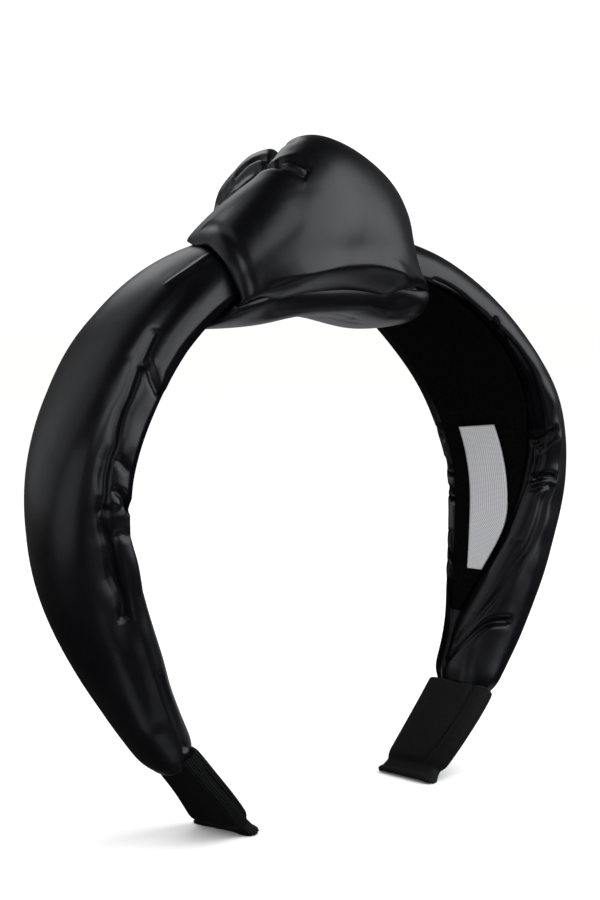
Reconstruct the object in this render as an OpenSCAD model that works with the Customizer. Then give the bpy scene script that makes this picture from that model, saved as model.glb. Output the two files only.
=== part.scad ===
// Padded headband with a knot on its crown, standing on its two tips.
// X runs from the left arm to the right arm, Y from the brow to the nape and Z up from the feet.

/* [Arch] */
// Height of the arms' inner face at the crown
inner_height = 138; // [120:1:160]
// Widest distance between the two arms' inner faces
inner_width = 136; // [115:1:155]
// Distance between the inner faces of the two feet
foot_gap = 61; // [44:1:84]
// Angle by which the arms close in towards the nape
cone = 17; // [0:1:22]
// How far the middle of each arm sways towards the brow
sway = 4; // [0:0.5:8]
// How far the feet stand back from the crown
heel = 2.5; // [0:0.5:6]

/* [Padding] */
// Width of an arm where it is widest
pad_width = 44; // [34:1:52]
// Depth of the padding where it is fullest
pad_depth = 17; // [12:0.5:22]
// How far the turned-in edges stand proud of the seat for the lining
roll_depth = 4; // [3:0.25:5]
// Depth of the long crease beside the front edge
crease_depth = 1.4; // [0:0.1:2]
// Depth of the gathers along the front edge
gather_depth = 0.6; // [0:0.1:1]
// Distance from one gather to the next
gather_pitch = 11; // [8:0.5:18]

/* [Lining] */
// Thickness of the lining
lining_thick = 1.2; // [0.8:0.1:1.6]

/* [Label] */
// Length of the label, along the arm
label_length = 42; // [25:1:50]
// Width of the label
label_width = 11.5; // [8:0.5:14]
// Thickness of the label
label_thick = 0.5; // [0.4:0.1:0.8]
// Distance from the crown to the label's upper edge, along the arm
label_drop = 87; // [70:1:95]

/* [End wraps] */
// Length of the ribbon wrap on each tip
wrap_length = 29; // [20:1:36]
// Width of the ribbon wrap
wrap_width = 20; // [14:0.2:20]
// Thickness of the ribbon wrap
wrap_thick = 6; // [4:0.1:6.5]
// Width of the pressed hem that each tip stands on
hem_width = 21; // [17:0.5:22]
// Thickness of the pressed hem
hem_thick = 2.2; // [1.5:0.1:2.5]

/* [Knot] */
// Height of the knot above the padding at the crown
knot_height = 23; // [16:0.5:30]
// How far the knot's front bulges past the padding
knot_front = 12; // [8:0.5:16]
// How far the knot's back bulges past the padding
knot_back = 9; // [6:0.5:14]
// How far the roll under the knot hangs below the padding
knot_under = 15; // [10:0.5:18]
// Length of the knot along the crown
knot_length = 60; // [48:1:68]
// Depth of the creases in the knot
knot_crease = 1.5; // [0:0.1:2.5]

/* [Fit] */
// Clearance between neighbouring pieces
gap = 0.3; // [0.2:0.05:0.4]

/* [Hidden] */

LEFT = -1;
RIGHT = 1;

// The arch from the crown to a foot, whose rows are mirrored for the left side.
// run: share of the way from the crown; across: share of half inner_width;
// foot: share of half foot_gap; up: share of inner_height; turn: share of cone;
// brow: share of sway; nape: share of heel
ARCH = [
    [0.00, 0.000, 0.00, 1.000, 0.00, 0.00, 0.00],
    [0.08, 0.265, 0.00, 0.992, 0.03, 0.00, 0.00],
    [0.16, 0.511, 0.00, 0.957, 0.11, 0.00, 0.00],
    [0.25, 0.744, 0.00, 0.876, 0.24, 0.05, 0.00],
    [0.34, 0.910, 0.00, 0.776, 0.41, 0.45, 0.00],
    [0.42, 0.990, 0.00, 0.678, 0.69, 0.80, 0.00],
    [0.50, 0.998, 0.00, 0.571, 0.96, 1.00, 0.00],
    [0.58, 0.900, 0.10, 0.463, 1.02, 1.08, 0.00],
    [0.66, 0.780, 0.23, 0.363, 0.90, 1.08, 0.00],
    [0.74, 0.640, 0.42, 0.278, 0.68, 0.95, 0.02],
    [0.82, 0.480, 0.62, 0.199, 0.43, 0.70, 0.05],
    [0.86, 0.390, 0.70, 0.158, 0.29, 0.65, 0.08],
    [0.93, 0.190, 0.86, 0.081, 0.10, 0.35, 0.30],
    [1.00, 0.000, 1.00, 0.000, -0.20, 0.00, 1.00]
];
ACROSS = 1;
FOOT = 2;
UP = 3;
TURN = 4;
BROW = 5;
NAPE = 6;

// One arm's padding from the crown to its end.
// along: share of the padding's run; wide: share of pad_width; deep: share of pad_depth;
// roll: share of roll_depth; lap_l and lap_r: where the turned-in front edge stops on the left
// and right arm, as a share of the half width, negative towards the brow;
// fold: place of the long crease, 0 at the back edge and 1 at the front edge;
// dip: share of crease_depth
PAD = [
    [0.00, 0.64, 0.68, 0.20, -0.86, -0.86, 0.80, 0.0],
    [0.10, 0.82, 0.68, 0.20, -0.88, -0.87, 0.80, 0.0],
    [0.19, 0.93, 0.68, 0.25, -0.90, -0.87, 0.80, 0.0],
    [0.29, 1.00, 0.69, 0.35, -0.94, -0.84, 0.80, 0.3],
    [0.40, 0.99, 0.74, 0.45, -0.95, -0.74, 0.84, 1.0],
    [0.49, 0.92, 0.86, 0.55, -0.94, -0.59, 0.89, 1.0],
    [0.58, 0.80, 0.97, 0.75, -0.80, -0.44, 0.93, 0.9],
    [0.67, 0.70, 1.00, 1.00, -0.40, -0.24, 0.95, 0.6],
    [0.77, 0.60, 0.88, 1.20, 0.20, 0.20, 0.95, 0.2],
    [0.86, 0.51, 0.69, 1.30, 0.66, 0.66, 0.95, 0.0],
    [0.95, 0.46, 0.51, 1.30, 0.74, 0.74, 0.95, 0.0],
    [1.00, 0.46, 0.45, 1.20, 0.76, 0.76, 0.95, 0.0]
];
WIDE = 1;
DEEP = 2;
ROLL = 3;
LAP_L = 4;
LAP_R = 5;
FOLD = 6;
DIP = 7;

// The ribbon wrap from the padding's end to the foot.
// along: share of wrap_length; body: share of wrap_width and wrap_thick;
// hem_w: share of hem_width; hem_t: share of hem_thick
WRAP = [
    [0.00, 1.00, 0.94, 0.00, 0.0],
    [0.10, 1.00, 1.00, 0.00, 0.0],
    [0.45, 1.00, 0.96, 0.00, 0.0],
    [0.80, 0.98, 0.92, 0.00, 0.0],
    [0.86, 0.80, 0.62, 0.18, 0.3],
    [0.92, 0.00, 0.00, 0.97, 1.4],
    [1.00, 0.00, 0.00, 1.00, 1.2]
];
BODY_W = 1;
BODY_T = 2;
HEM_W = 3;
HEM_T = 4;

// The knot round the band, by the angle round it: 0 at the top, 90 at the brow,
// 180 underneath and 270 at the nape.
// left and right: where the knot's mouths lie, as shares of knot_length from the crown;
// high, front, under, back: shares of the four knot sizes that make its thickness there;
// fill_l and fill_r: how it grows from the two mouths, where a smaller exponent is fuller
KNOT = [
    [0, 0.48, 0.48, 1.00, 0.00, 0.00, 0.00, 1.60, 0.56],
    [30, 0.55, 0.43, 0.90, 0.12, 0.00, 0.00, 1.20, 0.58],
    [65, 0.60, 0.38, 0.30, 0.80, 0.00, 0.00, 0.90, 0.62],
    [90, 0.63, 0.41, 0.00, 1.00, 0.00, 0.00, 0.80, 0.62],
    [130, 0.67, 0.52, 0.00, 0.62, 0.15, 0.00, 0.80, 0.60],
    [180, 0.76, 0.66, 0.00, 0.00, 1.00, 0.00, 1.25, 0.30],
    [225, 0.50, 0.62, 0.00, 0.00, 0.40, 0.40, 0.90, 0.50],
    [270, 0.25, 0.58, 0.00, 0.00, 0.00, 1.00, 0.80, 0.60],
    [315, 0.26, 0.54, 0.50, 0.00, 0.00, 0.50, 0.90, 0.60],
    [335, 0.42, 0.50, 0.84, 0.00, 0.00, 0.15, 1.80, 0.60],
    [360, 0.48, 0.48, 1.00, 0.00, 0.00, 0.00, 1.60, 0.56]
];
MOUTH_L = 1;
MOUTH_R = 2;
HIGH = 3;
FRONT = 4;
UNDER = 5;
BACK = 6;
FILL_L = 7;
FILL_R = 8;

// Where the knot's three folds meet, from its left mouth to its right mouth.
// across: share of the way; shoulder and hem: angles round the band of the front wrap's
// upper and lower edges
MEET = [
    [0.00, -30, 124],
    [0.10, -22, 110],
    [0.18, 4, 105],
    [0.25, 21, 103],
    [0.33, 16, 102],
    [0.45, 2, 102],
    [0.70, -22, 107],
    [0.86, -36, 130],
    [1.00, -45, 142]
];
SHOULDER = 1;
HEM = 2;
ROLL_HEM = 224;

// Creases pressed into the knot.
// across: share of the way from mouth to mouth; angle: round the band; long: reach along the
// way; lean: degrees gained over the whole way; wide: reach in degrees; deep: share of knot_crease
CREASES = [
    [0.30, 35, 0.07, 200, 6, 1.2],
    [0.24, -14, 0.12, 90, 7, 1.0],
    [0.42, -26, 0.12, -60, 7, 1.0],
    [0.56, -52, 0.14, 70, 8, 0.9],
    [0.34, -64, 0.16, -50, 9, 0.9],
    [0.60, -96, 0.20, -40, 9, 0.8],
    [0.45, 172, 0.12, 80, 8, 0.5],
    [0.72, 156, 0.12, -60, 8, 0.5]
];

// Exponent that squares the padding's crown a little, and the one for its turned-in edges
CROWN_POWER = 0.86;
ROLL_POWER = 0.7;
// Share of the half width where the turned-in back edge stops, and its depth as a share of the
// front one's
BACK_LAP = 0.88;
BACK_ROLL = 0.5;
// Places of the crown's points, closer together beside the crease
CROWN_AT = [
    0, 0.06, 0.14, 0.24, 0.35, 0.46, 0.57, 0.67,
    0.75, 0.81, 0.86, 0.9, 0.94, 0.97, 1
];
// Points round the turned-in edges, and rings and points of each sweep
FRONT_ROLL_POINTS = 5;
BACK_ROLL_POINTS = 2;
PAD_STATIONS = 48;
LINING_STATIONS = 60;
LABEL_STATIONS = 8;
END_STATIONS = 14;
END_POINTS = 16;
KNOT_STATIONS = 22;
WRAP_POINTS = 16;
FOLD_POINTS = 16;
ROLL_POINTS = 12;
// Reach of the crease and of the gathers to either side, as shares of the way over the crown
CREASE_SPREAD = 0.045;
GATHER_SPREAD = 0.09;
// Shares of the padding's run between which it is gathered
GATHERS_FROM = 0.3;
GATHERS_TO = 0.8;
// Length of the padding's rounded end, how much its section shrinks there, and the share of the
// depth that it shrinks towards
END_ROUND = 6;
END_SHRINK = 0.45;
END_MIDDLE = 0.33;
// Share of the way from mouth to mouth that the knot's rings keep clear of the mouths
MOUTH_LIP = 0.02;
// Exponent that squares the knot's inside under the band, and its room below the turned-in edges
UNDER_POWER = 0.45;
UNDER_ROOM = 0.7;
// Thickness of the knot's cloth at its mouths, and its own clearance over the padding
MOUTH_THICK = 1.2;
KNOT_CLEAR = 0.2;
// Share by which the under roll thins at its middle
KNOT_SADDLE = 0.48;
// Degrees between two neighbouring folds, and how late a fold's thickness falls off to its edges
EDGE_TURN = 2.2;
FOLD_POWER = 5;
// Shares of the thickness left at the folds' edges
SHOULDER_EDGE = 0.85;
HEM_EDGE = 0.5;
ROLL_EDGE = 0.3;
// Share of the padding's run at which the lining ends
LINING_END = 0.84;
// The seat of the ribbon wrap inside the arm's inner face
WRAP_SEAT = 2.6;
// Exponent that squares the ribbon wrap's section
WRAP_POWER = 0.42;
// How far the whole stands back, so that its middle lies over the origin
SET_BACK = 1.4;
// Step for a tangent, as a share of the run
STEP = 0.005;

// Index of the row that the place u falls after
function row_before(t, u, i = 0) =
    i >= len(t) - 2 || u < t[i + 1][0] ? i : row_before(t, u, i + 1);

// Slope of column c at row i, level at the first row unless the column crosses zero there
function row_slope(t, i, c, odd) =
    i == 0 ? (odd ? (t[1][c] - t[0][c]) / (t[1][0] - t[0][0]) : 0)
    : i == len(t) - 1 ? (t[i][c] - t[i - 1][c]) / (t[i][0] - t[i - 1][0])
    : (t[i + 1][c] - t[i - 1][c]) / (t[i + 1][0] - t[i - 1][0]);

// Column c of a table at the place u, on a smooth curve through the rows
function at(t, u, c, odd = false) =
    let (v = min(max(u, t[0][0]), t[len(t) - 1][0]))
    let (i = row_before(t, v))
    let (h = t[i + 1][0] - t[i][0])
    let (s = (v - t[i][0]) / h)
    let (m0 = row_slope(t, i, c, odd) * h)
    let (m1 = row_slope(t, i + 1, c, odd) * h)
    (2 * s ^ 3 - 3 * s ^ 2 + 1) * t[i][c] + (s ^ 3 - 2 * s ^ 2 + s) * m0
    + (3 * s ^ 2 - 2 * s ^ 3) * t[i + 1][c] + (s ^ 3 - s ^ 2) * m1;

function mix(a, b, s) = a + (b - a) * s;
function power(v, e) = sign(v) * abs(v) ^ e;

// Point of the arms' inner line in the X-Z plane, u from -1 at the left foot to 1 at the right
function spine(u) =
    let (a = abs(u))
    [
        sign(u) * (at(ARCH, a, ACROSS, true) * inner_width + at(ARCH, a, FOOT) * foot_gap) / 2,
        at(ARCH, a, UP) * inner_height
    ];

// Length along the spine of each step from the crown to a foot
SPINE_STEPS = 100;
STEP_LENGTHS = [for (i = [1:SPINE_STEPS]) norm(spine(i / SPINE_STEPS) - spine((i - 1) / SPINE_STEPS))];
function run_length(i) = i == 0 ? 0 : STEP_LENGTHS[i - 1] + run_length(i - 1);
REACH = [for (i = [0:SPINE_STEPS]) [run_length(i), i / SPINE_STEPS]];
ARM_LENGTH = REACH[SPINE_STEPS][0];
// Share of the run at a distance from the crown
function run_at(d) = sign(d) * lookup(abs(d), REACH);
PAD_RUN = run_at(ARM_LENGTH - wrap_length);

// Frame at u: the spine's point, the outward normal, the turn and the shift along Y
function frame_at(u) =
    let (a = abs(u))
    let (c = spine(u))
    let (t = spine(min(u + STEP, 1)) - spine(max(u - STEP, -1)))
    let (l = norm(t))
    [
        c, [-t[1] / l, t[0] / l], -cone * at(ARCH, a, TURN),
        SET_BACK + heel * at(ARCH, a, NAPE) - sway * at(ARCH, a, BROW)
    ];

// A point y across the band and n out from its inner face
function placed(f, y, n) =
    let (out = n * cos(f[2]) + y * sin(f[2]))
    let (side = y * cos(f[2]) - n * sin(f[2]))
    [f[0][0] + f[1][0] * out, side + f[3], f[0][1] + f[1][1] * out];

// Half width, depth and turned-in depth of the padding at u
function pad_at(u) =
    let (v = abs(u) / PAD_RUN)
    [
        pad_width / 2 * at(PAD, v, WIDE), pad_depth * at(PAD, v, DEEP),
        roll_depth * at(PAD, v, ROLL)
    ];
function lap_at(u) = at(PAD, abs(u) / PAD_RUN, u < 0 ? LAP_L : LAP_R);

// Triangles across a ring of n points, in a strip between its two halves
function cap(n) = [
    for (i = [0:floor(n / 2) - 1])
        let (far = n - 1 - i)
        each (i + 1 < far - 1 ? [[i, i + 1, far], [i + 1, far - 1, far]]
            : i + 1 == far - 1 ? [[i, i + 1, far]] : [])
];

// A closed solid through rings of equal length, capped at both ends
module skin(rings) {
    n = len(rings[0]);
    m = len(rings);
    points = [for (r = rings) each r];
    sides = [
        for (i = [0:m - 2], j = [0:n - 1])
            let (a = i * n + j)
            let (b = i * n + (j + 1) % n)
            each [[a, b + n, b], [a, a + n, b + n]]
    ];
    first = cap(n);
    last = [for (t = first) [t[0] + (m - 1) * n, t[2] + (m - 1) * n, t[1] + (m - 1) * n]];
    polyhedron(points = points, faces = concat(sides, first, last));
}

// Rings turned round where the sweep would otherwise come out inside out
function facing(rings, side) = side > 0 ? rings : [for (r = rings) [for (i = [len(r) - 1:-1:0]) r[i]]];

// One arm

// How far a point of the crown lies below its smooth shape
function crease(u, q) =
    let (v = abs(u) / PAD_RUN)
    crease_depth * at(PAD, v, DIP) * exp(-((q - at(PAD, v, FOLD)) / CREASE_SPREAD) ^ 2);
function gather(u, q) =
    let (v = abs(u) / PAD_RUN)
    let (inside = (v - GATHERS_FROM) / (GATHERS_TO - GATHERS_FROM))
    inside <= 0 || inside >= 1 ? 0
    : gather_depth * sin(180 * inside) * exp(-((q - 1) / GATHER_SPREAD) ^ 2)
      * sin(360 * abs(u) * ARM_LENGTH / gather_pitch);

// Shrink of the section over the padding's rounded end
function end_round(u) =
    let (left = (PAD_RUN - abs(u)) * ARM_LENGTH)
    left >= END_ROUND ? 1 : sqrt(1 - END_SHRINK * (1 - left / END_ROUND) ^ 2);

function crown_point(u, p, q) =
    let (d = crease(u, q) + gather(u, q))
    [
        (p[0] - d) * power(cos(180 * q), CROWN_POWER),
        (p[1] - d) * power(sin(180 * q), CROWN_POWER)
    ];

function pad_ring(u) =
    let (f = frame_at(u))
    let (p = pad_at(u))
    let (lap = lap_at(u) * p[0])
    let (back = BACK_LAP * p[0])
    let (k = end_round(u))
    let (middle = END_MIDDLE * p[1])
    let (crown = [for (q = CROWN_AT) crown_point(u, p, q)])
    let (front = [
        for (i = [1:FRONT_ROLL_POINTS])
            let (s = i / (FRONT_ROLL_POINTS + 1))
            [mix(-p[0], lap, s), -p[2] * sin(180 * s) ^ ROLL_POWER]
    ])
    let (seat = [[lap, 0], [(lap + back) / 2, 0], [back, 0]])
    let (rear = [
        for (i = [1:BACK_ROLL_POINTS])
            let (s = i / (BACK_ROLL_POINTS + 1))
            [mix(back, p[0], s), -BACK_ROLL * p[2] * sin(180 * s) ^ ROLL_POWER]
    ])
    [
        for (c = concat(crown, front, seat, rear))
            placed(f, c[0] * k, mix(middle, c[1], k))
    ];

module arm(side) {
    inner_end = gap / 2 / ARM_LENGTH;
    rings = [
        for (i = [0:PAD_STATIONS])
            pad_ring(side * mix(inner_end, PAD_RUN, i / PAD_STATIONS))
    ];
    skin(facing(rings, side));
}

module left_arm() {
    color("#17181b") arm(LEFT);
}

module right_arm() {
    color("#17181b") arm(RIGHT);
}

// The lining, one strip that runs under the knot from arm to arm

LINING_TOP = -gap;
LINING_FACE = -gap - lining_thick;

function strip_ring(u, from, to, top, face) =
    let (f = frame_at(u))
    let (middle = (from + to) / 2)
    [
        placed(f, from, top), placed(f, middle, top), placed(f, to, top),
        placed(f, to, face), placed(f, middle, face), placed(f, from, face)
    ];

function lining_ring(u) =
    let (half = pad_at(u)[0])
    strip_ring(u, BACK_LAP * half - gap, lap_at(u) * half + gap, LINING_TOP, LINING_FACE);

module lining() {
    rings = [
        for (i = [0:LINING_STATIONS])
            lining_ring(mix(-1, 1, i / LINING_STATIONS) * LINING_END * PAD_RUN)
    ];
    color("#08080a") skin(rings);
}

// The bare label on the right arm's lining, whose front edge slips under the turned-in edge

LABEL_TOP = LINING_FACE - gap;
LABEL_FACE = LABEL_TOP - label_thick;
// Distance of the label's middle behind the arm's middle, at its two ends
LABEL_BACK = 5;
LABEL_BACK_LOW = 0.4;

function label_ring(s) =
    let (u = run_at(label_drop + s * label_length))
    let (half = pad_at(u)[0])
    let (middle = mix(LABEL_BACK, LABEL_BACK_LOW, s))
    let (front = max(middle - label_width / 2, lap_at(u) * half + gap))
    strip_ring(u, middle + label_width / 2, front, LABEL_TOP, LABEL_FACE);

module label() {
    rings = [for (i = [0:LABEL_STATIONS]) label_ring(i / LABEL_STATIONS)];
    color("#9a9a9c") skin(rings);
}

// The ribbon wraps

// A foot's ring is slid along the arm until it is level with the floor
function levelled(p, u) =
    let (t = spine(u) - spine(u - sign(u) * STEP))
    let (k = -p[2] / t[1])
    [p[0] + t[0] * k, p[1], 0];

function wrap_ring(s, side) =
    let (u = side * mix(PAD_RUN + gap / ARM_LENGTH, 1, s))
    let (f = frame_at(u))
    let (w = at(WRAP, s, BODY_W) * wrap_width + at(WRAP, s, HEM_W) * hem_width)
    let (t = at(WRAP, s, BODY_T) * wrap_thick + at(WRAP, s, HEM_T) * hem_thick)
    let (middle = wrap_thick / 2 - WRAP_SEAT)
    [
        for (i = [0:END_POINTS - 1])
            let (a = 360 * (i + 0.5) / END_POINTS)
            let (y = w / 2 * power(cos(a), WRAP_POWER))
            let (p = placed(f, y, middle + t / 2 * power(sin(a), WRAP_POWER)))
            s == 1 ? levelled(p, u) : p
    ];

module end_wrap(side) {
    rings = [for (i = [0:END_STATIONS]) wrap_ring(i / END_STATIONS, side)];
    skin(facing(rings, side));
}

module left_end() {
    color("#101013") end_wrap(LEFT);
}

module right_end() {
    color("#101013") end_wrap(RIGHT);
}

// The knot: three folds round the band, each a closed skin over the padding

function turned(a) = a < 0 ? a + 360 : a >= 360 ? a - 360 : a;

// The section that the knot wraps, in the direction a and grown by the clearance g. Under the
// band it is squared off, clear of the turned-in edges and the lining.
function core(u, a, g) =
    let (p = pad_at(u))
    let (under = cos(a) < 0)
    let (e = under ? UNDER_POWER : CROWN_POWER)
    let (depth = under ? max(p[2] + UNDER_ROOM, lining_thick + gap) : p[1])
    [
        -(p[0] + (under ? g : 0)) * power(sin(a), e) - g * sin(a),
        depth * power(cos(a), e) + g * cos(a)
    ];

// The run share at the place k from the left mouth to the right mouth, in the direction a
function knot_run(k, a) =
    let (b = turned(a))
    run_at(mix(-at(KNOT, b, MOUTH_L), at(KNOT, b, MOUTH_R), k) * knot_length);

function knot_thick(k, a) =
    let (b = turned(a))
    let (full = at(KNOT, b, HIGH) * knot_height + at(KNOT, b, FRONT) * knot_front
        + at(KNOT, b, UNDER) * knot_under + at(KNOT, b, BACK) * knot_back)
    let (fill = mix(at(KNOT, b, FILL_L), at(KNOT, b, FILL_R), k))
    let (rise = sin(180 * k))
    full * rise ^ fill * (1 - KNOT_SADDLE * at(KNOT, b, UNDER) * rise ^ 2);

function crease_at(k, a, c) =
    let (round_band = (a - c[1] - c[3] * (k - c[0])) / c[4])
    c[5] * exp(-((k - c[0]) / c[2]) ^ 2 - round_band ^ 2);
function creases(k, a, i = 0) =
    i == len(CREASES) ? 0 : crease_at(k, a, CREASES[i]) + creases(k, a, i + 1);

// A point of the knot's outside or inside, with its thickness taken by the share s
function knot_point(k, a, s) =
    let (u = knot_run(k, a))
    let (c = core(u, a, gap + KNOT_CLEAR))
    let (t = s * (knot_thick(k, a) + MOUTH_THICK - knot_crease * creases(k, a)))
    placed(frame_at(u), c[0] - t * sin(a), c[1] + t * cos(a));

// A fold's ring: its outside from one edge to the other, then its inside back again
function fold_ring(k, from, to, points, start, end) = [
    for (i = [0:points])
        let (s = i / points)
        let (edge = mix(start, end, s))
        knot_point(k, mix(from, to, s), edge + (1 - edge) * (1 - abs(2 * s - 1) ^ FOLD_POWER)),
    for (i = [0:points])
        knot_point(k, mix(to, from, i / points), 0)
];
function knot_station(i) = mix(MOUTH_LIP, 1 - MOUTH_LIP, i / KNOT_STATIONS);

module knot_wrap() {
    rings = [
        for (i = [0:KNOT_STATIONS])
            let (k = knot_station(i))
            let (shoulder = at(MEET, k, SHOULDER))
            fold_ring(k, shoulder, at(MEET, k, HEM), WRAP_POINTS, SHOULDER_EDGE, HEM_EDGE)
    ];
    color("#232427") skin(rings);
}

module knot_fold() {
    rings = [
        for (i = [0:KNOT_STATIONS])
            let (k = knot_station(i))
            let (shoulder = at(MEET, k, SHOULDER) - EDGE_TURN)
            fold_ring(k, ROLL_HEM - 360, shoulder, FOLD_POINTS, ROLL_EDGE, SHOULDER_EDGE)
    ];
    color("#101114") skin(rings);
}

module knot_roll() {
    rings = [
        for (i = [0:KNOT_STATIONS])
            let (k = knot_station(i))
            let (hem = at(MEET, k, HEM) + EDGE_TURN)
            fold_ring(k, hem, ROLL_HEM - EDGE_TURN, ROLL_POINTS, HEM_EDGE, ROLL_EDGE)
    ];
    color("#1b1c1f") skin(rings);
}

left_arm();
right_arm();
lining();
label();
knot_wrap();
knot_fold();
knot_roll();
left_end();
right_end();
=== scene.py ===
"""The looks of a padded headband: satin faux leather, a twisted knot and ribbed ribbon tips."""
import math

import bpy
import numpy as np
from mathutils import Matrix, Vector, noise


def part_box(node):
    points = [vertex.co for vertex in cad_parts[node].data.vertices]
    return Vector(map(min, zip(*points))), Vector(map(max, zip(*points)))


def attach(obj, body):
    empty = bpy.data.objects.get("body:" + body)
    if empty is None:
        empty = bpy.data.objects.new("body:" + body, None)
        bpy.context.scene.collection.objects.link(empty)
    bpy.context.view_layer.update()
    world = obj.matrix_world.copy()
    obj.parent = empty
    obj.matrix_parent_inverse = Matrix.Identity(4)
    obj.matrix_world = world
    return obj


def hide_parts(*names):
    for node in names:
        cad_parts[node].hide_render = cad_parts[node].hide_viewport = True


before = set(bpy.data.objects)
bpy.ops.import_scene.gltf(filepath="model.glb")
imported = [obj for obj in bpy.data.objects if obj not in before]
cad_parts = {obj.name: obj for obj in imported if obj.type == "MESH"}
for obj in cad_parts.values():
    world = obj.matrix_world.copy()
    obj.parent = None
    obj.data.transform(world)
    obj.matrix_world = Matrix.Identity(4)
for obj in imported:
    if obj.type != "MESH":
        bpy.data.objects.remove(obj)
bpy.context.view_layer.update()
MM = 0.001
CENTRE = np.array([0, 0, 80]) * MM

# The camera: how far round from the brow towards the left arm, how far up and how tilted it is, in
# degrees, then its distance, its lens, what it looks at and how far aside of that, in millimetres
AZIMUTH = 40
PITCH = 4.1
ROLL = -3.4
DISTANCE = 475
LENS = 73.9
LOOK_AT = (0, 1.4, 92.5)
LOOK_ASIDE = -1.3


def place_camera():
    """Puts the camera where the photograph was taken from."""
    azimuth, pitch, roll = (math.radians(v) for v in (AZIMUTH, PITCH, ROLL))
    back = Vector((
        -math.sin(azimuth) * math.cos(pitch),
        -math.cos(azimuth) * math.cos(pitch),
        math.sin(pitch),
    ))
    level = Vector((math.cos(azimuth), -math.sin(azimuth), 0))
    upright = back.cross(level)
    right = math.cos(roll) * level + math.sin(roll) * upright
    up = -math.sin(roll) * level + math.cos(roll) * upright
    eye = (Vector(LOOK_AT) + right * LOOK_ASIDE + back * DISTANCE) * MM
    data = bpy.data.cameras.new("camera")
    data.lens = LENS
    data.clip_start = 20 * MM
    camera = bpy.data.objects.new("camera", data)
    camera.matrix_world = Matrix.Translation(eye) @ Matrix((right, up, back)).transposed().to_4x4()
    bpy.context.scene.collection.objects.link(camera)
    bpy.context.scene.camera = camera


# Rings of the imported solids

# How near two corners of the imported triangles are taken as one, in metres
WELD = 1e-6
# How many others each inner corner has round it in a sweep's net of triangles
NEIGHBOURS = 6
# The ends of a strip's broad face lie at least this share of the farthest apart
BROAD = 0.9
# For each node: points in a ring, how many of them lie outside, whether the ring is a flat strip,
# the way from the first ring to the last, and the way from the last outside point to the first
SWEEPS = {
    "left_arm": (25, 15, False, (-1, 0, 0), (0, 1, 0)),
    "right_arm": (25, 15, False, (1, 0, 0), (0, 1, 0)),
    "lining": (6, 3, True, (1, 0, 0), (0, 1, 0)),
    "label": (6, 3, True, (0, 0, -1), (0, 1, 0)),
    "knot_wrap": (34, 17, False, (1, 0, 0), (0, 0, 1)),
    "knot_fold": (34, 17, False, (1, 0, 0), (0, 0, -1)),
    "knot_roll": (26, 13, False, (1, 0, 0), (0, -1, 0)),
    "left_end": (16, 8, False, (0, 0, -1), (0, 1, 0)),
    "right_end": (16, 8, False, (0, 0, -1), (0, 1, 0)),
}


def rings_of(node):
    """The rings that a node's solid was swept through, as an array of rings, points and X, Y, Z."""
    count, outer, flat, way, start = SWEEPS[node]
    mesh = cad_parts[node].data
    corners = np.array([v.co for v in mesh.vertices])
    keys = np.round(corners / WELD).astype(np.int64)
    _, first, index = np.unique(keys, axis=0, return_index=True, return_inverse=True)
    points, index = corners[first], index.reshape(-1)
    apex = {}
    for polygon in mesh.polygons:
        a, b, c = (int(index[v]) for v in polygon.vertices)
        apex[a, b], apex[b, c], apex[c, a] = c, a, b
    uses = np.bincount([a for a, _ in apex])

    def ring_from(a, b):
        """The closed line that runs straight on from a to b, or None."""
        ring = [a, b]
        while len(ring) <= count and uses[ring[-1]] == NEIGHBOURS:
            ahead = ring[-2]
            for _ in range(NEIGHBOURS // 2):
                ahead = apex[ring[-1], ahead]
            ring.append(ahead)
        closed = len(ring) == count + 1 and ring[-1] == a and len(set(ring)) == count
        return ring[:-1] if closed else None

    def rings_beyond(ring):
        """The rings on the left of this one, each in step with the one before."""
        found = []
        while True:
            tips = [apex[a, b] for a, b in zip(ring, ring[1:] + ring[:1])]
            if set(tips) & set(ring):
                return found
            here = np.linalg.norm(points[tips] - points[ring], axis=1).sum()
            next_one = np.linalg.norm(points[tips] - points[ring[1:] + ring[:1]], axis=1).sum()
            ring = tips if here < next_one else tips[-1:] + tips[:-1]
            found.append(ring)

    inner = (side for side in sorted(apex) if uses[side[0]] == NEIGHBOURS)
    ring = next(filter(None, (ring_from(a, b) for a, b in inner)))
    behind = [r[::-1] for r in rings_beyond(ring[::-1])]
    rings = points[np.array(behind[::-1] + [ring] + rings_beyond(ring))]
    if rings.shape[0] * count != len(points):
        raise ValueError(f"{node} isn't swept through rings of {count} points")

    middles = rings.mean(axis=1)
    if (middles[-1] - middles[0]) @ np.array(way) < 0:
        rings = rings[::-1]
    core = CENTRE if "knot" not in node else knot_core()
    reach = np.linalg.norm(rings - core, axis=2).sum(axis=0)
    windows = [np.take(reach, range(s, s + outer), mode="wrap").sum() for s in range(count)]
    if flat:
        # The outside of a strip is one of its two broad faces, not a stretch round its edge
        far = np.roll(rings, 1 - outer, axis=1)
        spans = np.linalg.norm(far - rings, axis=2).sum(axis=0)
        windows = np.where(spans > BROAD * spans.max(), windows, 0)
    rings = np.roll(rings, -int(np.argmax(windows)), axis=1)
    if ((rings[:, 0] - rings[:, outer - 1]) @ np.array(start)).mean() < 0:
        rings = np.concatenate([rings[:, outer - 1::-1], rings[:, :outer - 1:-1]], axis=1)
    return rings


def knot_core():
    """The middle of the band's section under the knot."""
    low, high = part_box("left_arm")
    lining_low, lining_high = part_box("lining")
    return np.array([0, (low.y + high.y) / 2, (lining_high.z + high.z) / 2])


# Meshes

# How often a cover, a cloth or a strip is subdivided
LEVELS = 3
UP = (0, 0, 1)


def link(obj):
    bpy.context.scene.collection.objects.link(obj)
    return obj


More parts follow.
